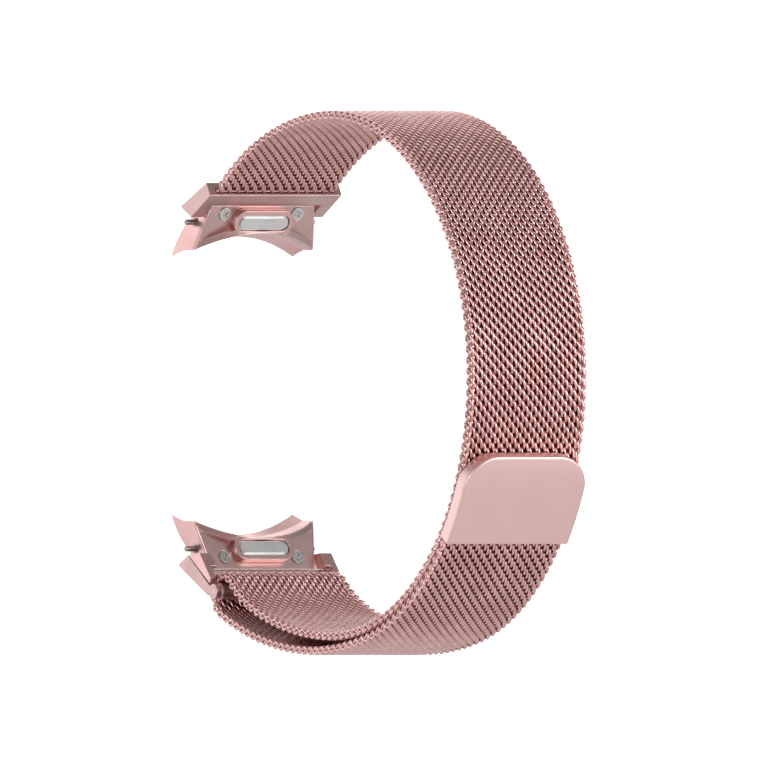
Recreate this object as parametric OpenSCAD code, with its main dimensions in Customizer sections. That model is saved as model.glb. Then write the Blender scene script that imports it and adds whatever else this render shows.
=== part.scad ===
// Woven-mesh magnetic loop strap for a round smartwatch, with quick-release end links.
// Millimetres. The origin is the centre of the round watch case, between the two rows of lug pins:
// +X runs from the watch to the back of the wrist, Y across the strap, +Z towards the upper link.

/* [Watch case] */
// Radius of the round case that the end links hug
case_r = 21.6; // [20.5:0.1:22.5]
// Radius of the case at its outer rim, where it narrows
rim_r = 20.9; // [20:0.1:21.5]
// Height of the lug pins above the case centre
pin_z = 23.2; // [22.9:0.1:23.5]

/* [End links] */
// Half width of an end link at its case side, to fit a 20 mm lug gap
link_half_w = 9.9; // [9.5:0.05:10]
// How much the half width shrinks for each millimetre away from the case
link_taper = 0.208; // [0.1:0.01:0.25]
// Lean of the link's inner face from the vertical, in degrees
face_lean = 20.8; // [15:0.1:25]
// Thickness of the inner cover plate
cover_t = 0.6; // [0.4:0.05:0.8]
// Distance between the two cover screws
screw_gap = 12.1; // [12:0.1:13]
// Radius of a cover screw's head
screw_head_r = 0.95; // [0.8:0.05:1.05]

/* [Release button] */
// Length of the bezel ring around the button
bezel_l = 9.8; // [9:0.1:10]
// Height of the bezel ring
bezel_h = 3.7; // [3.4:0.1:4]
// Wall of the bezel ring
bezel_wall = 0.65; // [0.5:0.05:0.8]
// How far the bezel stands out of the cover
bezel_proud = 1.3; // [0.8:0.1:1.5]
// Travel of the button, and of each lug pin
press = 0.8; // [0.6:0.1:0.8]

/* [Lug pins] */
// Radius of a lug pin's tip
pin_r = 0.4; // [0.35:0.05:0.45]
// Radius of the pin's plunger, inside the link
plunger_r = 0.6; // [0.55:0.05:0.65]
// Distance of a pin's tip from the middle plane
pin_reach = 10.7; // [10.5:0.1:11]

/* [Frames] */
// Half width of the frames, over their arms
frame_half_w = 11; // [10.9:0.1:11.5]
// Distance of an arm's inner side from the middle plane
arm_in = 9.1; // [9:0.05:9.3]
// Radius of the roller that the mesh runs round
roller_r = 1.2; // [1:0.05:1.3]

/* [Mesh strap] */
// Width of the mesh
mesh_w = 19.6; // [19:0.1:20]
// Thickness of the mesh
mesh_t = 1.4; // [1.2:0.05:1.5]
// Radius of the wrist loop at the middle of the mesh
loop_r = 37; // [36.5:0.1:37.5]

/* [Clasp] */
// Thickness of the magnetic clasp over the mesh below it
clasp_t = 2.2; // [2:0.1:2.4]
// Half width of the clasp
clasp_half_w = 10.1; // [10:0.05:10.3]
// Radius of the clasp's two round corners
clasp_corner = 5; // [4:0.5:6]

/* [Hidden] */
$fn = 96;
fit = 0.02; // radial clearance of a running fit
gap = 0.1; // clearance between pieces that move past each other
over = 1; // how far a cutter runs past the face that it cuts
far = 60; // longer than any link

// Side profile of the upper link, as [X, Z]. The lower link is its mirror image in Z.
corner = [1.2, 19.3]; // inner corner at the case
narrow_x = -1.6; // where the case starts to narrow towards its rim
tip = [-4.8, 18.4]; // outer corner at the case
shoulder = [-1.4, 23.6]; // outer corner below the frame
bulge_c = [3.2, 16.9]; // centre of the outer face's curve
frame_a = [-0.9, 25.4];
frame_b = [1.9, 23.9];
frame_c = [7.1, 27.0];
frame_d = [6.1, 28.8];
// The neck that carries a frame, from the outer face over to the top of the inner face
upper_neck = [frame_a, [3.3, 27.5], [3.3, 25.6]];
lower_neck = [[-1.6, 25.5], [2.2, 27.5], [2.2, 26.2]];
deep_z = 17; // below anything that the case leaves of a link

// Middle of the button on the inner face, and how deep the button reaches below that face
face_z = 23.45;
button_deep = 2.1;
function face_x(z, depth = 0) = corner[0] + tan(face_lean) * (z - corner[1]) - depth / cos(face_lean);

// The strap's route in [X, Z]: a circle round the wrist, with easy curves to the two frames.
// Each turn is [radius, sweep in degrees], and bends to the left, seen from -Y, if its radius is
// positive. A turn with a radius of 0 is straight, and its second number is its length.
loop_c = [37.6, 1.4];
top_turns = [[52, 20], [42.3, 19.4]];
low_turns = [[-62, 16], [-36, 12], [-14, 12], [0, 1.75]];
mouth_turn = [2.4, 130];
tail_first_turns = [[0, 0.6], [2.5, 66]];
layer_gap = 0.05; // between the two layers under the clasp
tail_r = loop_r + mesh_t + layer_gap;

// Places on the loop, as angles above the +X direction
hinge_top = 84; // upper flex line
hinge_back = 14; // flex line behind the wrist
clasp_high = -16.8; // the clasp's free edge
clasp_low = -37; // where the mesh enters the clasp
hinge_peel = -47; // flex line below the clasp
nose_gap = 0.1; // between the round end of one strap piece and the hollow end of the next
inner_turn = 45; // part of the turn round the roller that stays with the inner layer
outer_turn = 97; // where the tail's part of that turn starts

touch = 157; // the roller touches the turn's inside in this direction
plate_in = 10.1; // distance of the lower frame's plates from the middle plane

// ---------- the strap's route ----------

function heading(a) = [cos(a), sin(a)];
function left_of(a) = [-sin(a), cos(a)];

// Where a turn ends, as [point, heading]
function turn_end(s, turn) =
    let (b = s[1] + sign(turn[0]) * turn[1])
    turn[0] == 0 ? [s[0] + turn[1] * heading(s[1]), b]
    : [s[0] + turn[0] * (left_of(s[1]) - left_of(b)), b];
function walk(s, turns, i = 0) = i == len(turns) ? s : walk(turn_end(s, turns[i]), turns, i + 1);

// Points along a turn, and along a chain of turns, without the first
function turn_points(s, turn) =
    let (n = max(3, ceil(turn[1] / 4)))
    [for (i = [1:n]) turn_end(s, [turn[0], turn[1] * i / n])];
function walk_points(s, turns, i = 0) =
    i == len(turns) ? []
    : concat(turn_points(s, turns[i]), walk_points(turn_end(s, turns[i]), turns, i + 1));

// Points on a circle round the loop's centre, clockwise where to is the smaller angle
function loop_points(r, from, to) =
    let (n = max(3, ceil(abs(to - from) / 4)))
    [for (i = [0:n]) let (a = from + (to - from) * i / n)
        [loop_c + r * heading(a), to < from ? a - 90 : a + 90]];

// The radius of the turn that leaves s and runs smoothly onto a circle round the loop's centre
function easing_r(s, r) =
    let (d = s[0] - loop_c)
    (r * r - d * d) / (2 * (d * left_of(s[1]) + r));
function easing_turn(s, r) =
    let (
        e = easing_r(s, r),
        away = s[0] + e * left_of(s[1]) - loop_c,
        out = atan2(-away[1], -away[0])
    )
    [e, out + 90 - (s[1] - 360)];

top_start = [loop_c + [0, loop_r], 180];
low_start = [loop_c - [0, loop_r], 180];
top_mouth = walk(top_start, top_turns);
low_mouth = walk(low_start, low_turns);
turn_c = low_mouth[0] + mouth_turn[0] * left_of(low_mouth[1]);
roller_c = turn_c + (mouth_turn[0] - mesh_t / 2 - roller_r - 0.05) * heading(touch);
turn_done = turn_end(low_mouth, mouth_turn);
tail_start = walk(turn_done, tail_first_turns);
tail_ease = easing_turn(tail_start, tail_r);

// The band that follows a list of [point, heading]
module band(route, t = mesh_t) {
    polygon(concat(
        [for (s = route) s[0] + t / 2 * left_of(s[1])],
        [for (i = [len(route) - 1:-1:0]) route[i][0] - t / 2 * left_of(route[i][1])]
    ));
}

rose = [0.86, 0.66, 0.64];
rose_dark = [0.72, 0.52, 0.50];
steel = [0.84, 0.84, 0.83];
mesh_tone = [0.66, 0.44, 0.43];

// ---------- helpers ----------

// Runs a side profile, drawn as [X, Z], across the strap from y0 to y1
module across(y0, y1) {
    translate([0, y1, 0]) rotate([90, 0, 0]) linear_extrude(y1 - y0) children();
}

// Both sides of the middle plane, from y0 to y1 and its mirror image
module both_sides(y0, y1) {
    across(y0, y1) children();
    across(-y1, -y0) children();
}

module lower() {
    mirror([0, 0, 1]) children();
}

// Places children on the upper link's inner face: x down the slope, y across, z out of the face
module on_inner_face() {
    translate([face_x(face_z), 0, face_z]) rotate([0, 90 + face_lean, 0]) children();
}

// Puts children at a place on the strap's route, x pointing along it
module on_route(s) {
    translate([s[0][0], 0, s[0][1]]) rotate([0, -s[1], 0]) children();
}

module cross_pin(r, l) {
    rotate([90, 0, 0]) cylinder(r = r, h = l, center = true);
}

module slot(l, h) {
    square([h, l - h], center = true);
    for (s = [-1, 1]) translate([0, s * (l - h) / 2]) circle(d = h);
}

// The room that the watch case takes, grown by extra
module case_room(extra = 0) {
    depth = 8;
    slope = (case_r - rim_r) / (narrow_x - tip[0]);
    rotate([0, 90, 0]) {
        translate([0, 0, narrow_x]) cylinder(r = case_r + extra, h = far);
        translate([0, 0, narrow_x - depth]) {
            cylinder(r1 = case_r - slope * depth + extra, r2 = case_r + extra, h = depth);
        }
    }
}

function half_w_at(z) = link_half_w - link_taper * (z - corner[1]);

// The link's tapering outline, seen along X
module taper_outline(inset = 0) {
    high_z = 30;
    polygon([
        [-half_w_at(deep_z) + inset, deep_z], [half_w_at(deep_z) - inset, deep_z],
        [half_w_at(high_z) - inset, high_z], [-half_w_at(high_z) + inset, high_z],
    ]);
}

module within_taper(inset = 0) {
    intersection() {
        translate([-far / 2, 0, 0]) rotate([90, 0, 90]) linear_extrude(far) taper_outline(inset);
        children();
    }
}

// ---------- end links ----------

// The outer face bulges as the watch's lugs do, between the case and the shoulder
module link_outline(neck) {
    steps = 14;
    r = norm(tip - bulge_c);
    from = atan2(tip[1] - bulge_c[1], tip[0] - bulge_c[0]);
    to = atan2(shoulder[1] - bulge_c[1], shoulder[0] - bulge_c[0]);
    top = neck[2][1];
    polygon(concat(
        [[tip[0], deep_z]],
        [for (i = [0:steps]) bulge_c + r * heading(from + (to - from) * i / steps)],
        neck,
        [[face_x(top, cover_t), top], [face_x(deep_z, cover_t), deep_z]]
    ));
}

module end_link(neck) {
    pocket_l = bezel_l - 0.2;
    pocket_h = bezel_h - 0.2;
    pocket_deep = button_deep + press + 0.15;
    difference() {
        within_taper() across(-far / 2, far / 2) link_outline(neck);
        case_room();
        on_inner_face() {
            translate([0, 0, -1.4]) linear_extrude(3) slot(bezel_l + 2 * fit, bezel_h + 2 * fit);
            translate([0, 0, -pocket_deep]) linear_extrude(pocket_deep) slot(pocket_l, pocket_h);
            for (s = [-1, 1]) translate([-1, s * screw_gap / 2, -3.2]) cylinder(r = 0.4, h = 4);
        }
        translate([0, 0, pin_z]) cross_pin(plunger_r + fit, far);
    }
}

// The plate over the works, with a window for the bezel and a raised lip along the case
module cover(neck) {
    lip_h = 1.5;
    lip_w = 0.9;
    lip_span = 9.4;
    lip_bend = (lip_span * lip_span + lip_h * lip_h) / (2 * lip_h);
    top = neck[2][1] - 0.05;
    difference() {
        within_taper(0.05) union() {
            across(-far / 2, far / 2) polygon([
                [face_x(deep_z), deep_z], [face_x(top), top],
                [face_x(top, cover_t), top], [face_x(deep_z, cover_t), deep_z],
            ]);
            intersection() {
                on_inner_face() {
                    translate([-10, 0, lip_h - lip_bend]) rotate([0, 90, 0]) cylinder(r = lip_bend, h = 20);
                }
                on_inner_face() translate([-10, -10, -cover_t]) cube([20, 20, 4]);
                translate([-2, 0, 0]) rotate([0, 90, 0]) cylinder(r = case_r + lip_w, h = 20);
            }
        }
        case_room();
        on_inner_face() {
            translate([0, 0, -2]) linear_extrude(6) slot(bezel_l + 2 * fit, bezel_h + 2 * fit);
            for (s = [-1, 1]) translate([-1, s * screw_gap / 2, -2]) {
                cylinder(r = 0.45, h = 4);
                translate([0, 0, 1.75]) cylinder(r = screw_head_r + 0.05, h = 3);
            }
        }
    }
}

module bezel() {
    base = 1.38;
    inner_l = bezel_l - 2 * bezel_wall;
    inner_h = bezel_h - 2 * bezel_wall;
    difference() {
        on_inner_face() translate([0, 0, -base]) difference() {
            linear_extrude(base + bezel_proud) slot(bezel_l, bezel_h);
            translate([0, 0, -over]) linear_extrude(base + bezel_proud + 2 * over) slot(inner_l, inner_h);
        }
        case_room(0.1);
    }
}

// The button's foot is cut short on its far side, clear of the lug pins
module lower_part() {
    translate([-2, -5]) square([2.2, 10]);
}

module button() {
    l = bezel_l - 2 * bezel_wall - gap;
    h = bezel_h - 2 * bezel_wall - gap;
    crown = 0.35;
    difference() {
        on_inner_face() {
            translate([0, 0, -1.1]) linear_extrude(1.1 + bezel_proud - crown) slot(l, h);
            translate([0, 0, bezel_proud - crown]) linear_extrude(crown) slot(l - 0.5, h - 0.7);
            translate([0, 0, -button_deep]) linear_extrude(1) intersection() {
                slot(l, h);
                lower_part();
            }
            translate([0, 0, -button_deep]) linear_extrude(0.6) intersection() {
                slot(bezel_l - 0.5, bezel_h - 0.5);
                lower_part();
            }
        }
        case_room(0.5);
    }
}

// One lug pin: a plunger inside the link, and a thinner tip for the hole in the watch's lug
module pin(side) {
    inner = 5.7;
    plunger_end = 9.25;
    translate([0, 0, pin_z]) rotate([-90 * side, 0, 0]) translate([0, 0, inner]) {
        cylinder(r = plunger_r, h = plunger_end - inner);
        cylinder(r = pin_r, h = pin_reach - inner);
    }
}

// The spring between the plungers, drawn as a tube at its pressed length
module pin_spring() {
    l = 9.7;
    wire = 0.2;
    translate([0, 0, pin_z]) difference() {
        cross_pin(plunger_r, l);
        cross_pin(plunger_r - wire, l + over);
    }
}

module cross_screw() {
    slot_w = 0.25;
    slot_l = 1.2;
    difference() {
        union() {
            translate([0, 0, -0.25]) cylinder(r = screw_head_r, h = 0.45);
            translate([0, 0, -2.8]) cylinder(r = 0.38, h = 2.7);
        }
        for (a = [25, 115]) rotate([0, 0, a]) {
            translate([-slot_l / 2, -slot_w / 2, -0.05]) cube([slot_l, slot_w, 0.5]);
        }
    }
}

module screws() {
    on_inner_face() for (s = [-1, 1]) translate([-1, s * screw_gap / 2, 0]) cross_screw();
}

// ---------- frames ----------

module arm_outline() {
    polygon([frame_a, frame_b, frame_c, frame_d]);
}

// A bar across the strap's end, with an arm beside each lug
module upper_frame() {
    color(rose) difference() {
        union() {
            both_sides(arm_in, frame_half_w) arm_outline();
            across(-frame_half_w, frame_half_w) intersection() {
                arm_outline();
                translate(upper_neck[2]) square(10);
            }
        }
        on_route(top_mouth) {
            translate([-0.5, -mesh_w / 2 - gap, -0.45]) cube([1.9, mesh_w + 2 * gap, 0.9]);
        }
    }
}

module upper_mesh_rod() {
    color(steel) on_route(top_mouth) translate([0.9, 0, 0]) cross_pin(0.2, mesh_w);
}

// Plates that carry the roller, and a bar across the strap behind the mesh's turn
module lower_frame() {
    boss_r = 1.1;
    bar_top = [4.2, 27.3];
    neck = lower_neck[1] + [0.05, 0];
    foot = lower_neck[2] + [0.05, 0.05];
    color(rose) lower() difference() {
        union() {
            both_sides(plate_in, frame_half_w) {
                polygon([lower_neck[0], [1.1, 24.1], [7.3, 28.7], [6.4, 29.8]]);
                translate([roller_c[0], -roller_c[1]]) circle(r = boss_r);
            }
            across(-frame_half_w, frame_half_w) {
                polygon([foot, neck, [3.9, 28.4], bar_top, [face_x(foot[1]), foot[1]]]);
            }
        }
        translate([roller_c[0], 0, -roller_c[1]]) cross_pin(0.4 + fit, far);
    }
}

// Cheeks between the link's neck and the frame's plates
module lower_cheeks() {
    color(rose) lower() {
        both_sides(arm_in, plate_in) polygon([[1.3, 24.1], [4.3, 23.8], [5.7, 25.6], [5.4, 26], [3.6, 26]]);
        both_sides(plate_in, frame_half_w) polygon([[1.3, 24.1], [4.3, 23.8], [7.2, 27.3], [7, 28.1]]);
    }
}

module lower_roller() {
    color(rose) translate([roller_c[0], 0, roller_c[1]]) difference() {
        cross_pin(roller_r, 2 * plate_in - gap);
        cross_pin(0.4 + fit, far);
    }
}

module lower_roller_pin() {
    color(steel) translate([roller_c[0], 0, roller_c[1]]) cross_pin(0.4, 2 * frame_half_w);
}

// ---------- strap ----------

module strap_piece() {
    across(-mesh_w / 2, mesh_w / 2) children();
}

module on_loop(r, angle) {
    translate(loop_c + r * heading(angle)) children();
}

module nose(r, angle) {
    on_loop(r, angle) circle(r = mesh_t / 2 - fit);
}

module hollow(r, angle) {
    on_loop(r, angle) circle(r = mesh_t / 2 + nose_gap);
}

module strap_upper() {
    color(mesh_tone) {
        strap_piece() {
            band(concat(loop_points(loop_r, hinge_top, 90), walk_points(top_start, top_turns)));
            nose(loop_r, hinge_top);
        }
        on_route(top_mouth) difference() {
            translate([-0.2, -mesh_w / 2, -0.4]) cube([1.5, mesh_w, 0.8]);
            translate([0.9, 0, 0]) cross_pin(0.22, far);
        }
    }
}

module strap_back() {
    color(mesh_tone) strap_piece() {
        difference() {
            union() {
                band(loop_points(loop_r, hinge_top, hinge_back));
                nose(loop_r, hinge_back);
            }
            hollow(loop_r, hinge_top);
        }
    }
}

module strap_under() {
    color(mesh_tone) strap_piece() difference() {
        band(concat(loop_points(loop_r, hinge_back, -90), walk_points(low_start, low_turns)));
        hollow(loop_r, hinge_back);
    }
}

// The part of the turn round the roller that stays with the inner layer
module strap_turn() {
    color(mesh_tone) strap_piece() {
        band(concat([low_mouth], turn_points(low_mouth, [mouth_turn[0], inner_turn])));
    }
}

module strap_tail() {
    outer_left = mouth_turn[1] - outer_turn;
    color(mesh_tone) strap_piece() difference() {
        band(concat(
            [for (i = [0:8]) turn_end(low_mouth, [mouth_turn[0], outer_turn + outer_left * i / 8])],
            walk_points(turn_done, concat(tail_first_turns, [tail_ease])),
            loop_points(tail_r, turn_end(tail_start, tail_ease)[1] - 450 + 0.5, hinge_peel)
        ));
        hollow(tail_r, hinge_peel);
    }
}

module strap_tail_end() {
    color(mesh_tone) {
        strap_piece() {
            band(loop_points(tail_r, hinge_peel, clasp_low - 0.1));
            nose(tail_r, hinge_peel);
        }
        across(-tongue_half_w, tongue_half_w) band(loop_points(tail_r, clasp_low - 0.3, clasp_low + 2.5));
    }
}

// ---------- clasp ----------

clasp_in = loop_r + mesh_t / 2 + layer_gap;
clasp_out = clasp_in + clasp_t;
clasp_wall = 0.5;
tongue_half_w = 9.4; // of the mesh's end inside the shell

// A block between two radii and two angles about the loop's axis
module sector(r0, r1, from, to, half_w) {
    translate([loop_c[0], half_w, loop_c[1]]) rotate([90, 0, 0]) rotate([0, 0, from]) {
        rotate_extrude(angle = to - from, $fn = 480) translate([r0, 0]) square([r1 - r0, 2 * half_w]);
    }
}

// The clasp's outline seen from outside: straight where the mesh enters, round at its free end
module clasp_outline(inset = 0) {
    l = clasp_out * sin((clasp_high - clasp_low) / 2) - inset;
    w = clasp_half_w - inset;
    c = clasp_corner - inset;
    past_end = 3;
    steps = 12;
    polygon(concat(
        [[l + past_end, -w], [l + past_end, w]],
        [for (i = [0:steps]) [c - l, w - c] + c * heading(90 + 90 * i / steps)],
        [for (i = [0:steps]) [c - l, c - w] + c * heading(180 + 90 * i / steps)]
    ));
}

// Runs an outline outwards from the loop's axis through the clasp
module through_clasp() {
    translate([loop_c[0], 0, loop_c[1]]) rotate([0, 90 - (clasp_low + clasp_high) / 2, 0]) {
        linear_extrude(far) children();
    }
}

// A curved roof with a rim below it on three sides, open where the mesh enters
module clasp_shell() {
    color(rose) {
        intersection() {
            sector(clasp_out - clasp_wall, clasp_out, clasp_low, clasp_high, clasp_half_w);
            through_clasp() clasp_outline();
        }
        intersection() {
            sector(clasp_in, clasp_out - clasp_wall / 2, clasp_low, clasp_high, clasp_half_w);
            through_clasp() difference() {
                clasp_outline();
                clasp_outline(clasp_wall);
            }
        }
    }
}

module clasp_back_plate() {
    color(rose_dark) intersection() {
        sector(clasp_in, clasp_in + 0.35, clasp_low + 2.8, clasp_high, clasp_half_w);
        through_clasp() clasp_outline(clasp_wall + fit);
    }
}

module clasp_magnets() {
    magnet_l = 3.4;
    magnet_half_w = 5.2;
    pitch = 4.6;
    color(steel) for (from = [clasp_low + 4:pitch:clasp_high - pitch]) {
        sector(clasp_in + 0.37, clasp_out - clasp_wall - fit, from, from + magnet_l, magnet_half_w);
    }
}

// The bar that crimps the mesh's end inside the shell
module clasp_crimp() {
    color(rose_dark) {
        sector(clasp_in + mesh_t + fit, clasp_out - clasp_wall - fit, clasp_low + 0.4, clasp_low + 2.4,
            tongue_half_w);
    }
}

// ---------- the pieces of the two links ----------

module upper_end_link() { color(rose) end_link(upper_neck); }
module upper_cover() { color(rose_dark) cover(upper_neck); }
module upper_bezel() { color(rose) bezel(); }
module upper_button() { color(steel) button(); }
module upper_pin_near() { color(steel) pin(-1); }
module upper_pin_far() { color(steel) pin(1); }
module upper_pin_spring() { color(steel) pin_spring(); }
module upper_screws() { color(steel) screws(); }
module lower_end_link() { color(rose) lower() end_link(lower_neck); }
module lower_cover() { color(rose_dark) lower() cover(lower_neck); }
module lower_bezel() { color(rose) lower() bezel(); }
module lower_button() { color(steel) lower() button(); }
module lower_pin_near() { color(steel) lower() pin(-1); }
module lower_pin_far() { color(steel) lower() pin(1); }
module lower_pin_spring() { color(steel) lower() pin_spring(); }
module lower_screws() { color(steel) lower() screws(); }

// ---------- assembly ----------

upper_end_link();
upper_cover();
upper_bezel();
upper_button();
upper_pin_near();
upper_pin_far();
upper_pin_spring();
upper_screws();
upper_frame();
upper_mesh_rod();
lower_end_link();
lower_cover();
lower_bezel();
lower_button();
lower_pin_near();
lower_pin_far();
lower_pin_spring();
lower_screws();
lower_frame();
lower_cheeks();
lower_roller();
lower_roller_pin();
strap_upper();
strap_back();
strap_under();
strap_turn();
strap_tail();
strap_tail_end();
clasp_shell();
clasp_back_plate();
clasp_magnets();
clasp_crimp();
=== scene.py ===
"""Visual model of a woven-mesh magnetic loop strap for a round smartwatch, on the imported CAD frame.
Lengths are worked out in millimetres and turned into metres as each mesh is made. The lights and the
camera are placed in metres."""

import math

import bmesh
import bpy
import numpy as np
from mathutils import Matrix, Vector


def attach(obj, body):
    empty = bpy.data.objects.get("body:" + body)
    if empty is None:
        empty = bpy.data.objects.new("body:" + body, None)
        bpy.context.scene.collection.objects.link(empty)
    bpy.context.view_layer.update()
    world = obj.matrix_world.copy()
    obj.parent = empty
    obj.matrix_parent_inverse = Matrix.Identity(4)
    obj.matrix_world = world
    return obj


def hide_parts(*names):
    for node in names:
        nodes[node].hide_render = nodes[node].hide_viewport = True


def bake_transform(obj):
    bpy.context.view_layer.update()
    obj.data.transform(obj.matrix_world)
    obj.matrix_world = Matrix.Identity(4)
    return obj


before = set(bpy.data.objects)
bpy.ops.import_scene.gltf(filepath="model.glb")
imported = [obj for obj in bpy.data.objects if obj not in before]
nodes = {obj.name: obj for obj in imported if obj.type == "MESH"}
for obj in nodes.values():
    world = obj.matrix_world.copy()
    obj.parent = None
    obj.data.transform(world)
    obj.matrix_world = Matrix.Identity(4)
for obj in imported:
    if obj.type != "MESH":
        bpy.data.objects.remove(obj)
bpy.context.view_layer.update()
MM = 0.001

# ---------- the strap's route, as in the CAD model: [X, Z] in mm, angles and headings in degrees ----------
# A turn is (radius, sweep), and bends to the left, seen from -Y, if its radius is positive. A turn with
# a radius of 0 is straight, and its second number is its length.

MESH_T = 1.4                        # thickness of the mesh
LAYER_GAP = 0.05                    # between the two layers under the clasp
LOOP_C = np.array([37.6, 1.4])      # centre of the wrist loop
LOOP_R = 37.0                       # radius of the loop, at the middle of the inner layer
TAIL_R = LOOP_R + MESH_T + LAYER_GAP
TOP_TURNS = [(52.0, 20.0), (42.3, 19.4)]
LOW_TURNS = [(-62.0, 16.0), (-36.0, 12.0), (-14.0, 12.0), (0.0, 1.75)]
MOUTH_TURN = (2.4, 130.0)           # round the roller
TAIL_FIRST_TURNS = [(0.0, 0.6), (2.5, 66.0)]
TAIL_SWEEP = 45.0                   # how far the route follows the tail's circle, to inside the clasp
CLASP_LOW, CLASP_HIGH = -37.0, -16.8


def vec(a):
    return np.array([math.cos(math.radians(a)), math.sin(math.radians(a))])


def left(a):
    return np.array([-math.sin(math.radians(a)), math.cos(math.radians(a))])


def turn_end(p, h, r, sweep):
    """Where a turn that starts at the point p, with the heading h, ends."""
    if r == 0:
        return p + sweep * vec(h), h
    b = h + math.copysign(sweep, r)
    return p + r * (left(h) - left(b)), b


def easing_turn(p, h, r):
    """The turn that leaves p with the heading h and runs smoothly onto a circle round the loop's centre."""
    d = p - LOOP_C
    ease_r = (r * r - d @ d) / (2 * (d @ left(h) + r))
    away = d + ease_r * left(h)
    meets = math.degrees(math.atan2(-away[1], -away[0]))
    return ease_r, (meets + 90 - h) % 360


def route_arcs():
    """Every turn from the upper mouth to the clasp, as (point, heading, radius, length)."""
    arcs = []

    def add(p, h, turns):
        for r, sweep in turns:
            arcs.append((p, h, r, sweep if r == 0 else abs(r) * math.radians(sweep)))
            p, h = turn_end(p, h, r, sweep)
        return p, h

    p, h = LOOP_C + [0, LOOP_R], 180.0
    for turn in TOP_TURNS:
        p, h = turn_end(p, h, *turn)
    from_mouth = [(-r, sweep) for r, sweep in reversed(TOP_TURNS)]
    half_loop = (-LOOP_R, 180.0)
    p, h = add(p, h - 180, from_mouth + [half_loop] + LOW_TURNS + [MOUTH_TURN] + TAIL_FIRST_TURNS)
    p, h = add(p, h, [easing_turn(p, h, TAIL_R)])
    add(p, h, [(TAIL_R, TAIL_SWEEP)])
    return arcs


ARCS = route_arcs()
STARTS = np.concatenate([[0], np.cumsum([a[3] for a in ARCS])])
LOOP_AT = STARTS[len(TOP_TURNS)]    # the top of the wrist loop
MOUTH = len(TOP_TURNS) + 1 + len(LOW_TURNS)     # which turn is the one round the roller
MOUTH_AT, TURN_DONE = STARTS[MOUTH], STARTS[MOUTH + 1]
TAIL_CIRCLE_AT = STARTS[-2]
TAIL_CIRCLE_FROM = ARCS[-1][1] - 90


def at_loop(angle):
    """Distance along the route of a place on the wrist loop."""
    return LOOP_AT + LOOP_R * math.radians(90 - angle)


def at_tail(angle):
    """Distance along the route of a place on the tail's circle."""
    return TAIL_CIRCLE_AT + TAIL_R * math.radians(angle - TAIL_CIRCLE_FROM)


def route(s):
    """Points and left-hand normals at the distances s along the route."""
    s = np.asarray(s, float)
    point, normal = np.zeros(s.shape + (2,)), np.zeros(s.shape + (2,))
    index = np.clip(np.searchsorted(STARTS, s, side="right") - 1, 0, len(ARCS) - 1)
    for i, (p, h, r, _) in enumerate(ARCS):
        on = index == i
        d = s[on] - STARTS[i]
        if r == 0:
            point[on] = p + d[:, None] * vec(h)
            normal[on] = left(h)
        else:
            b = math.radians(h) + d / r
            n = np.stack([-np.sin(b), np.cos(b)], -1)
            point[on] = p + r * (left(h) - n)
            normal[on] = n
    return point, normal


# ---------- materials ----------

MOTTLE = 260.0                      # scale of the slow change of tone
GRAIN_DEPTH = 0.00002               # of the surface's grain, in metres
BEND_FROM, BEND_TO = 0.995, 0.9     # how far a softened edge leans before its painted highlight starts, as a cosine
EDGE_SAMPLES = 6


def new_material(name):
    m = bpy.data.materials.new(name)
    m.use_nodes = True
    return m, m.node_tree.nodes, m.node_tree.links, m.node_tree.nodes["Principled BSDF"]


def noise(n, links, coords, scale, detail, stretch=(1, 1, 1)):
    mapping = n.new("ShaderNodeMapping")
    mapping.inputs["Scale"].default_value = stretch
    links.new(coords.outputs["Object"], mapping.inputs["Vector"])
    tex = n.new("ShaderNodeTexNoise")
    tex.inputs["Scale"].default_value = scale
    tex.inputs["Detail"].default_value = detail
    links.new(mapping.outputs["Vector"], tex.inputs["Vector"])
    return tex


def ramp(n, links, source, low, high, start=0.3, end=0.7):
    r = n.new("ShaderNodeValToRGB")
    r.color_ramp.elements[0].position, r.color_ramp.elements[0].color = start, (*low, 1)
    r.color_ramp.elements[1].position, r.color_ramp.elements[1].color = end, (*high, 1)
    links.new(source, r.inputs["Fac"])
    return r


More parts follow.
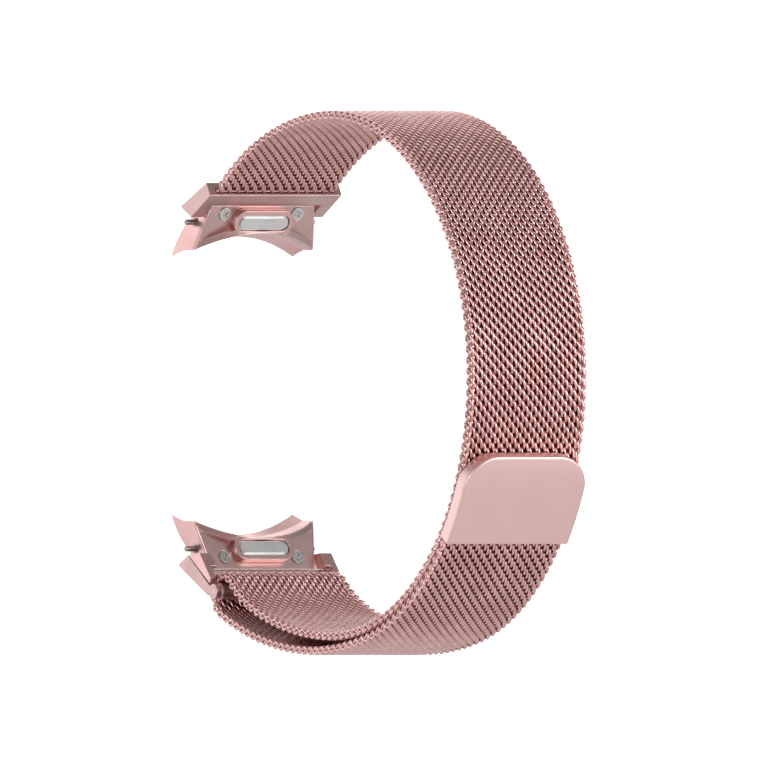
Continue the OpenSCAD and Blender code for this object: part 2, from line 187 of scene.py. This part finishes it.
def metal(name, dark, light, rough, grain, stretch=(1, 1, 1), bump=0.1, edge=0.0, painted_edge_highlight=None):
    """A coated or plain metal: mottled from dark to light, with grain in its gloss and its surface. The
    grain is finer the larger its number, and drawn out along an axis where stretch is below 1. Edges are
    softened by the radius edge, in metres, and lightened towards painted_edge_highlight as a painted
    highlight."""
    m, n, links, bsdf = new_material(name)
    coords = n.new("ShaderNodeTexCoord")
    mottle = noise(n, links, coords, MOTTLE, 4.0)
    tone = ramp(n, links, mottle.outputs["Fac"], dark, light)
    colour = tone.outputs["Color"]
    fine = noise(n, links, coords, grain, 5.0, stretch)
    gloss = n.new("ShaderNodeMapRange")
    gloss.inputs["To Min"].default_value, gloss.inputs["To Max"].default_value = rough
    links.new(fine.outputs["Fac"], gloss.inputs["Value"])
    links.new(gloss.outputs["Result"], bsdf.inputs["Roughness"])
    surface = n.new("ShaderNodeBump")
    surface.inputs["Strength"].default_value = bump
    surface.inputs["Distance"].default_value = GRAIN_DEPTH
    links.new(fine.outputs["Fac"], surface.inputs["Height"])
    if edge:
        soft = n.new("ShaderNodeBevel")
        soft.samples = EDGE_SAMPLES
        soft.inputs["Radius"].default_value = edge
        links.new(soft.outputs["Normal"], surface.inputs["Normal"])
        true_normal = n.new("ShaderNodeNewGeometry")
        dot = n.new("ShaderNodeVectorMath")
        dot.operation = "DOT_PRODUCT"
        links.new(soft.outputs["Normal"], dot.inputs[0])
        links.new(true_normal.outputs["Normal"], dot.inputs[1])
        # Painted highlight: where the softened normal leans away from the true one, the colour is lightened
        # towards the edge tone
        edge_highlight_mask = n.new("ShaderNodeMapRange")
        edge_highlight_mask.inputs["From Min"].default_value, edge_highlight_mask.inputs["From Max"].default_value = BEND_FROM, BEND_TO
        links.new(dot.outputs["Value"], edge_highlight_mask.inputs["Value"])
        mix = n.new("ShaderNodeMix")
        mix.data_type = "RGBA"
        mix.inputs["B"].default_value = (*painted_edge_highlight, 1)
        links.new(edge_highlight_mask.outputs["Result"], mix.inputs["Factor"])
        links.new(colour, mix.inputs["A"])
        colour = mix.outputs["Result"]
    links.new(colour, bsdf.inputs["Base Color"])
    links.new(surface.outputs["Normal"], bsdf.inputs["Normal"])
    bsdf.inputs["Metallic"].default_value = 1.0
    return m


# Lighter rose for the painted highlight along softened edges
ROSE_EDGE_HIGHLIGHT = (1.0, 0.80, 0.78)
ROSE = metal("rose_steel_satin", (0.80, 0.47, 0.45), (0.90, 0.58, 0.56), (0.24, 0.36), 2600.0,
             stretch=(1, 0.15, 1), bump=0.12, edge=0.00018, painted_edge_highlight=ROSE_EDGE_HIGHLIGHT)
# Darker and rougher than ROSE. On the roller and the mesh rod, deep inside the mesh, its darker tone is
# painted shade
ROSE_DULL = metal("rose_steel_dull_dark", (0.64, 0.43, 0.41), (0.72, 0.50, 0.48), (0.30, 0.42), 5200.0,
                  bump=0.2, edge=0.00018, painted_edge_highlight=ROSE_EDGE_HIGHLIGHT)
# Glossier than ROSE and lighter in colour: the extra lightness is a painted highlight along the rims
POLISHED_HIGHLIGHT = metal("rose_steel_polished_painted_highlight", (0.90, 0.64, 0.62), (0.97, 0.74, 0.72), (0.1, 0.2), 2000.0)
# The same rose steel as the rest, made lighter: painted light, for the light the clasp catches
CLASP = metal("clasp_rose_satin_painted_light", (0.98, 0.67, 0.645), (0.99, 0.69, 0.665), (0.36, 0.46), 3600.0, bump=0.16)
WIRE = metal("mesh_wire", (0.80, 0.475, 0.455), (0.94, 0.61, 0.59), (0.2, 0.32), 1800.0, bump=0.08)
# The strip inside the coils: far darker than the wire, as painted shade for the depth of the mesh
MESH_SHADE = metal("mesh_painted_shade", (0.17, 0.05, 0.047), (0.26, 0.09, 0.083), (0.5, 0.7), 1300.0)
BUTTON = metal("button_steel_brushed", (0.74, 0.74, 0.73), (0.84, 0.84, 0.83), (0.28, 0.42), 2400.0,
               stretch=(1, 0.08, 1), bump=0.15, edge=0.0001, painted_edge_highlight=(0.95, 0.95, 0.94))
SCREW = metal("screw_steel_bright", (0.66, 0.66, 0.64), (0.80, 0.80, 0.78), (0.2, 0.34), 4200.0,
              edge=0.00005, painted_edge_highlight=(0.92, 0.92, 0.9))
PIN = metal("pin_steel_turned", (0.26, 0.24, 0.23), (0.42, 0.40, 0.39), (0.26, 0.4), 3800.0,
            stretch=(1, 3, 1), bump=0.12)
MAGNET = metal("magnet_nickel", (0.58, 0.58, 0.59), (0.66, 0.66, 0.67), (0.12, 0.2), 900.0, bump=0.05)

LINK_FINISH = {"end_link": ROSE, "cover": ROSE_DULL, "bezel": ROSE, "frame": ROSE_DULL, "button": BUTTON,
               "screws": SCREW, "pin_spring": PIN, "pin_near": PIN, "pin_far": PIN}
# The roller and the mesh rod take the darker rose as painted shade
OTHER_FINISH = {"upper_mesh_rod": ROSE_DULL, "lower_cheeks": ROSE, "lower_roller": ROSE_DULL,
                "lower_roller_pin": ROSE, "clasp_back_plate": ROSE_DULL, "clasp_magnets": MAGNET,
                "clasp_crimp": ROSE_DULL}


def dress(name, material):
    node = nodes[name]
    node.data.materials.clear()
    node.data.materials.append(material)


for end in ("upper_", "lower_"):
    for part, material in LINK_FINISH.items():
        dress(end + part, material)
for name, material in OTHER_FINISH.items():
    dress(name, material)

# ---------- building meshes ----------


def make_object(name, verts, faces, materials, face_material=None, smooth=True):
    """Verts come in mm. Faces come as a list of index arrays, each with one row for a face."""
    mesh = bpy.data.meshes.new(name)
    mesh.vertices.add(len(verts))
    mesh.vertices.foreach_set("co", (np.asarray(verts) * MM).astype(np.float32).ravel())
    sides = np.concatenate([np.full(len(f), f.shape[1]) for f in faces])
    corners = np.concatenate([f.ravel() for f in faces])
    mesh.loops.add(len(corners))
    mesh.loops.foreach_set("vertex_index", corners.astype(np.int32))
    mesh.polygons.add(len(sides))
    starts = np.concatenate([[0], np.cumsum(sides)[:-1]])
    mesh.polygons.foreach_set("loop_start", starts.astype(np.int32))
    mesh.polygons.foreach_set("use_smooth", np.full(len(sides), smooth))
    for m in materials:
        mesh.materials.append(m)
    if face_material is not None:
        mesh.polygons.foreach_set("material_index", np.asarray(face_material, np.int32))
    mesh.update(calc_edges=True)
    mesh.validate()
    obj = bpy.data.objects.new(name, mesh)
    bpy.context.scene.collection.objects.link(obj)
    return obj


def unit(v):
    return v / np.linalg.norm(v, axis=-1, keepdims=True)


def tubes(paths, run, out, radius, sides):
    """Verts and quads of a round wire along each row of points. run is each point's direction along its
    wire, and out is square to it."""
    rows, count = paths.shape[:2]
    side = np.cross(run, out)
    angle = np.linspace(0, 2 * math.pi, sides, endpoint=False)[:, None]
    ring = out[:, :, None] * np.cos(angle) + side[:, :, None] * np.sin(angle)
    radius = np.broadcast_to(radius, (rows, count))[:, :, None, None]
    verts = (paths[:, :, None] + radius * ring).reshape(-1, 3)
    r, c, k = np.meshgrid(np.arange(rows), np.arange(count - 1), np.arange(sides), indexing="ij")
    base, k2 = (r * count + c) * sides, (k + 1) % sides
    quads = np.stack([base + k, base + k2, base + sides + k2, base + sides + k], -1)
    return verts, quads.reshape(-1, 4)


# ---------- the woven mesh: one coil of wire for each row, side by side along the strap ----------

MESH_W = 19.6
ROW_PITCH = 0.774                   # from one coil to the next
COLUMN = 1.425                      # length of one turn of a coil, across the strap
COIL_ALONG = 0.86                   # half a coil's size along the strap
COIL_DEEP = 0.455                   # half its size through the strap
WIRE_R = 0.225
STEPS, SIDES = 12, 6                # steps in one turn of a coil, and sides of the wire
END_STEP = 0.5                      # how much sooner every second coil ends
END_TURN = 0.8                      # turns that a coil makes on the spot at each end
END_EASE = 0.4                      # the length over which it changes to the next two values
END_NARROW = 0.58                   # how much narrower it is there
END_LEAN = 0.5                      # how far it leans along the strap there
SQUEEZE = 0.5                       # depth of a coil inside the upper frame and the clasp
STRIP_INSET = 0.75                  # from the strap's edge to the strip inside the coils, dark with painted shade
STRIP_STEP = 0.6
SLOT_IN = 1.3                       # how far the mesh goes into the upper frame
CLASP_GRIP = 1.5                    # and into the clasp, in degrees

CLASP_AT = at_tail(CLASP_LOW)


def woven(name, s0, s1):
    """The coils of every row that starts between s0 and s1, and a strip inside them, which stands for the
    wires that cross them, dark with painted shade for the shade deep in the mesh. Every second row is half
    a turn on, and ends a little sooner."""
    rows = np.arange(math.ceil(s0 / ROW_PITCH), math.ceil(s1 / ROW_PITCH))
    odd = rows % 2
    turns = MESH_W / COLUMN + 2 * END_TURN
    count = int(turns * STEPS)
    phi = np.linspace(0, 2 * math.pi * turns, count)[None, :] + math.pi * odd[:, None]
    across = (np.linspace(0, turns, count)[None, :] - turns / 2) * COLUMN
    edge = (MESH_W / 2 - WIRE_R - END_STEP * odd)[:, None]
    y = np.clip(across, -edge, edge)
    at_edge = np.clip((np.abs(across) - edge) / END_EASE, 0, 1)
    along = COIL_ALONG * (1 - END_NARROW * at_edge)
    squeeze = np.where((rows < 0) | (rows * ROW_PITCH > CLASP_AT), SQUEEZE, 1.0)
    deep = COIL_DEEP * squeeze[:, None] * np.sin(phi)
    s = ((rows + 0.5) * ROW_PITCH)[:, None] - along * np.cos(phi) + END_LEAN * at_edge * deep
    point, normal = route(s)
    tangent = np.stack([normal[..., 1], -normal[..., 0]], -1)
    flat = point + deep[..., None] * normal
    paths = np.stack([flat[..., 0], y, flat[..., 1]], -1)
    run = unit(np.gradient(paths, axis=1))
    out2 = (-np.cos(phi) / COIL_ALONG)[..., None] * tangent + (np.sin(phi) / COIL_DEEP)[..., None] * normal
    out = np.stack([out2[..., 0], np.zeros_like(y), out2[..., 1]], -1)
    out -= (out * run).sum(-1, keepdims=True) * run
    verts, quads = tubes(paths, run, unit(out), WIRE_R, SIDES)
    row_start = (np.arange(len(rows)) * count * SIDES)[:, None]
    first_caps = row_start + np.arange(SIDES)[::-1]
    last_caps = row_start + (count - 1) * SIDES + np.arange(SIDES)

    strip_s = np.arange(s0, s1 + STRIP_STEP / 2, STRIP_STEP)
    strip_s = np.append(strip_s[strip_s < s1], s1)
    centre, _ = route(strip_s)
    half = MESH_W / 2 - STRIP_INSET
    strip = np.concatenate([np.stack([centre[:, 0], np.full(len(centre), v), centre[:, 1]], -1)
                            for v in (-half, half)])
    i = len(verts) + np.arange(len(centre) - 1)
    strip_quads = np.stack([i, i + 1, i + 1 + len(centre), i + len(centre)], -1)

    faces = [quads, first_caps, last_caps, strip_quads]
    wire_faces = len(quads) + 2 * len(rows)
    # The strip takes the dark material, which is painted shade
    face_material = np.concatenate([np.zeros(wire_faces), np.ones(len(strip_quads))])
    obj = make_object(name, np.concatenate([verts, strip]), faces, [WIRE, MESH_SHADE], face_material)
    return obj


# Where one woven piece ends and the next starts, away from the flex lines
TOP_ENDS, BACK_ENDS, TAIL_ENDS = at_loop(50), at_loop(-30), at_tail(-62)
BEND_SHARE = 0.85                   # how much of the tail's first bend goes with the turn round the roller
(_, straight), (bend_r, bend_sweep) = TAIL_FIRST_TURNS
TURN_ENDS = TURN_DONE + straight + bend_r * math.radians(bend_sweep) * BEND_SHARE

mesh_top = woven("mesh_top", -SLOT_IN, TOP_ENDS)
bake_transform(mesh_top)
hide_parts("strap_upper")
mesh_back = woven("mesh_back", TOP_ENDS, BACK_ENDS)
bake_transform(mesh_back)
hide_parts("strap_back")
mesh_under = woven("mesh_under", BACK_ENDS, MOUTH_AT)
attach(mesh_under, "strap_under")
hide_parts("strap_under")
mesh_turn = woven("mesh_turn", MOUTH_AT, TURN_ENDS)
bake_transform(mesh_turn)
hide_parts("strap_turn")
mesh_tail = woven("mesh_tail", TURN_ENDS, TAIL_ENDS)
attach(mesh_tail, "tail")
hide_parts("strap_tail")
mesh_tail_end = woven("mesh_tail_end", TAIL_ENDS, at_tail(CLASP_LOW + CLASP_GRIP))
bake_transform(mesh_tail_end)
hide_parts("strap_tail_end")

# ---------- the clasp's shell ----------

CLASP_IN = LOOP_R + MESH_T / 2 + LAYER_GAP
CLASP_T = 2.2
CLASP_OUT = CLASP_IN + CLASP_T
CLASP_HALF_W = 10.1
CLASP_CORNER = 5.0                  # radius of the two corners at its free end
CLASP_ROUND = 0.3                   # radius of its outer edge
CLASP_SHORT = 0.04                  # how far its sides end above the shell's inner face
CLASP_ROWS, CLASP_COLS, CLASP_RINGS = 45, 49, 5


def clasp_place(r, angle, y):
    return np.stack([LOOP_C[0] + r * np.cos(angle), y, LOOP_C[1] + r * np.sin(angle)], -1)


def clasp_shell():
    """A curved plate with round corners at its free end, and an edge that rolls over all round."""
    length = CLASP_OUT * math.radians(CLASP_HIGH - CLASP_LOW)
    ease = (1 - np.cos(np.linspace(0, math.pi, CLASP_ROWS))) / 2
    c = CLASP_CORNER
    in_corner = np.clip(c - length * ease, 0, c)
    width = CLASP_HALF_W - c + np.sqrt(np.maximum(c * c - in_corner ** 2, 0))
    u = np.repeat((length * ease)[:, None], CLASP_COLS, 1)
    v = width[:, None] * np.cos(np.linspace(math.pi, 0, CLASP_COLS))[None, :]
    qx, qy = c - u, np.abs(v) - (CLASP_HALF_W - c)
    outside = np.hypot(np.maximum(qx, 0), np.maximum(qy, 0)) + np.minimum(np.maximum(qx, qy), 0)
    from_edge = np.minimum(c - outside, length - u)
    d = CLASP_ROUND - np.clip(from_edge, 0, CLASP_ROUND)
    radius = CLASP_OUT - CLASP_ROUND + np.sqrt(CLASP_ROUND ** 2 - d ** 2)
    angle = np.radians(CLASP_HIGH) - u / CLASP_OUT

    index = np.arange(u.size).reshape(u.shape)
    quads = [np.stack([index[:-1, :-1], index[1:, :-1], index[1:, 1:], index[:-1, 1:]], -1).reshape(-1, 4)]
    points = [clasp_place(radius, angle, v).reshape(-1, 3)]
    rim = np.concatenate([index[0, :], index[1:, -1], index[-1, -2::-1], index[-2:0:-1, 0]])
    above, total = rim, u.size
    for r in np.linspace(CLASP_OUT - CLASP_ROUND, CLASP_IN + CLASP_SHORT, CLASP_RINGS)[1:]:
        ring = total + np.arange(len(rim))
        points.append(clasp_place(np.full(len(rim), r), angle.ravel()[rim], v.ravel()[rim]))
        quads.append(np.stack([above, np.roll(above, -1), np.roll(ring, -1), ring], -1))
        above, total = ring, total + len(rim)
    obj = make_object("clasp_cover", np.concatenate(points), quads, [CLASP])
    bm = bmesh.new()
    bm.from_mesh(obj.data)
    bmesh.ops.recalc_face_normals(bm, faces=bm.faces)
    bm.to_mesh(obj.data)
    bm.free()
    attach(obj, "clasp")
    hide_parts("clasp_shell")


clasp_shell()

# ---------- the rounded rims of the two cover plates, lighter than the cover as a painted highlight ---

FACE_LEAN = math.radians(20.8)      # of a link's inner face, from the vertical
CORNER_X, CORNER_Z = 1.2, 19.3      # a link's inner corner, at the case
COVER_HALF_W, COVER_TAPER = 9.85, 0.208
CASE_R = 21.6
RIM_R, RIM_SIDES = 0.13, 10
SIDE_RIM_FROM = 19.45
SIDE_RIM_SUNK, SIDE_RIM_IN = 0.06, 0.03
LIP_HALF_W = 9.3
LIP_H, LIP_BEND = 1.5, 30.2         # height of the lip at its middle, and radius of its crown
LIP_BACK, LIP_SUNK = 0.1, 0.1       # from the case's arc, and below the lip's edge


def face_x(z):
    return CORNER_X + math.tan(FACE_LEAN) * (z - CORNER_Z)


def half_width(z):
    return COVER_HALF_W - COVER_TAPER * (z - CORNER_Z)


def bead(path):
    """Verts and quads of a thin round bead along a path, drawn in at each end."""
    run = unit(np.gradient(path, axis=0))
    out = unit(np.cross(run, [1.0, 0.2, 0.1]))
    r = np.full(len(path), RIM_R)
    r[[0, -1]], r[[1, -2]] = RIM_R * 0.25, RIM_R * 0.8
    return tubes(path[None], run[None], out[None], r, RIM_SIDES)


def cover_rims(end, flip, top):
    """The rounded edges of a cover plate, as thin beads in a lighter, glossier rose that paints their
    highlight:
    one up each side, as far as top, and one along the lip at the case. flip is -1 for the lower link."""
    paths = []
    for s in (-1, 1):
        z = np.linspace(SIDE_RIM_FROM, top, 24)
        paths.append(np.stack([face_x(z) - SIDE_RIM_SUNK, s * (half_width(z) - SIDE_RIM_IN), z], -1))
    y = np.linspace(-LIP_HALF_W, LIP_HALF_W, 60)
    z = np.sqrt((CASE_R + LIP_BACK) ** 2 - y ** 2)
    lip = np.maximum(LIP_H - LIP_BEND + np.sqrt(LIP_BEND ** 2 - y ** 2), 0)
    paths.append(np.stack([face_x(z) + lip / math.cos(FACE_LEAN) - LIP_SUNK, y, z], -1))
    verts, quads, total = [], [], 0
    for path in paths:
        v, q = bead(path * np.array([1, 1, flip]))
        verts.append(v)
        quads.append(q + total)
        total += len(v)
    obj = make_object(end + "_cover_rims", np.concatenate(verts), quads, [POLISHED_HIGHLIGHT])
    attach(obj, end + "_link")


cover_rims("upper", 1, 25.4)
cover_rims("lower", -1, 26.0)

# ---------- floor, light and camera ----------

FLOOR_Z, FLOOR_HALF = -110.0, 900.0     # mm, low enough to clear the strap when it is opened out
BACKDROP_FAR, BACKDROP_HALF = 700.0, 400.0
BACKDROP_GLOW = 1.1
WORLD_LIGHT = 0.28
LIT = np.array([0.037, 0, 0])       # the middle of the loop, which the panels face
LOW_AIM = (0.092, 0.02, -0.0396)    # below the clasp, so that the low panel lights it at a slant
VIEW = np.array([0.85, -0.527, 0.0])    # from the strap towards the camera
VIEW_SIDE = np.array([0.527, 0.85, 0])  # to the right, as the camera sees it
CAMERA_SPAN, CAMERA_FAR = 0.10906, 0.5
CAMERA_AT = np.array([0.03623, 0.0, 0.000213])


def card(name, centre, side, up, half, material):
    """A square sheet for the studio, twice as wide as half."""
    corners = np.array([centre + a * half * side + b * half * up
                        for a, b in ((-1, -1), (1, -1), (1, 1), (-1, 1))])
    return make_object(name, corners, [np.array([[0, 1, 2, 3]])], [material], smooth=False)


def floor():
    m, n, links, bsdf = new_material("floor_pale")
    grain = noise(n, links, n.new("ShaderNodeTexCoord"), 30.0, 2.0)
    tone = ramp(n, links, grain.outputs["Fac"], (0.90, 0.90, 0.90), (0.93, 0.93, 0.93))
    links.new(tone.outputs["Color"], bsdf.inputs["Base Color"])
    bsdf.inputs["Roughness"].default_value = 0.7
    centre, along_x, along_y = np.array([[0, 0, FLOOR_Z], [1, 0, 0], [0, 1, 0]])
    card("floor", centre, along_x, along_y, FLOOR_HALF, m)


def backdrop():
    """A white card behind the strap, as the camera sees it."""
    m, _, _, bsdf = new_material("backdrop_white")
    bsdf.inputs["Base Color"].default_value = (1, 1, 1, 1)
    bsdf.inputs["Emission Color"].default_value = (1, 1, 1, 1)
    bsdf.inputs["Emission Strength"].default_value = BACKDROP_GLOW
    up = np.array([0, 0, 1])
    card("backdrop", BACKDROP_FAR * -VIEW, VIEW_SIDE, up, BACKDROP_HALF, m)


def panel(name, towards, distance, size, radiance, aim=LIT):
    """A soft square light, bright enough to mirror as the given radiance. Its distance and size are in
    metres."""
    light = bpy.data.lights.new(name, "AREA")
    light.shape, light.size, light.energy = "SQUARE", size, radiance * math.pi * size * size
    obj = bpy.data.objects.new(name, light)
    bpy.context.scene.collection.objects.link(obj)
    obj.location = LIT + distance * unit(np.array(towards, float))
    obj.rotation_euler = (Vector(aim) - obj.location).to_track_quat("-Z", "Y").to_euler()


def studio():
    scene = bpy.context.scene
    world = bpy.data.worlds.new("studio")
    world.use_nodes = True
    world.node_tree.nodes["Background"].inputs["Color"].default_value = (1, 1, 1, 1)
    world.node_tree.nodes["Background"].inputs["Strength"].default_value = WORLD_LIGHT
    scene.world = world
    scene.view_settings.view_transform = "Standard"
    # The links' near sides mirror this one
    panel("side_panel", (-0.85, -0.527, 0.1), 0.5, 0.5, 0.88)
    # Lights the top of the loop from above
    panel("top_panel", (-0.45, 0.1, 1.0), 0.45, 0.34, 1.2)
    # The glints on the wires, and the near edges
    panel("front_panel", (0.45, -0.85, 0.1), 0.6, 0.24, 4.6)
    # The outer mesh behind the wrist, and the clasp, mirror these two
    panel("far_panel", (0.85, 0.527, 0.04), 0.6, 0.3, 2.8)
    panel("low_panel", (1.0, 0.42, 0.1), 0.11, 0.05, 3.2, LOW_AIM)


def camera():
    """Looks from the photo's side, level, with no perspective."""
    cam = bpy.data.cameras.new("camera")
    cam.type, cam.ortho_scale = "ORTHO", CAMERA_SPAN
    obj = bpy.data.objects.new("camera", cam)
    bpy.context.scene.collection.objects.link(obj)
    obj.location = CAMERA_AT + CAMERA_FAR * VIEW
    obj.rotation_euler = (math.radians(90), 0, math.atan2(VIEW[0], -VIEW[1]))
    bpy.context.scene.camera = obj


floor()
backdrop()
studio()
camera()
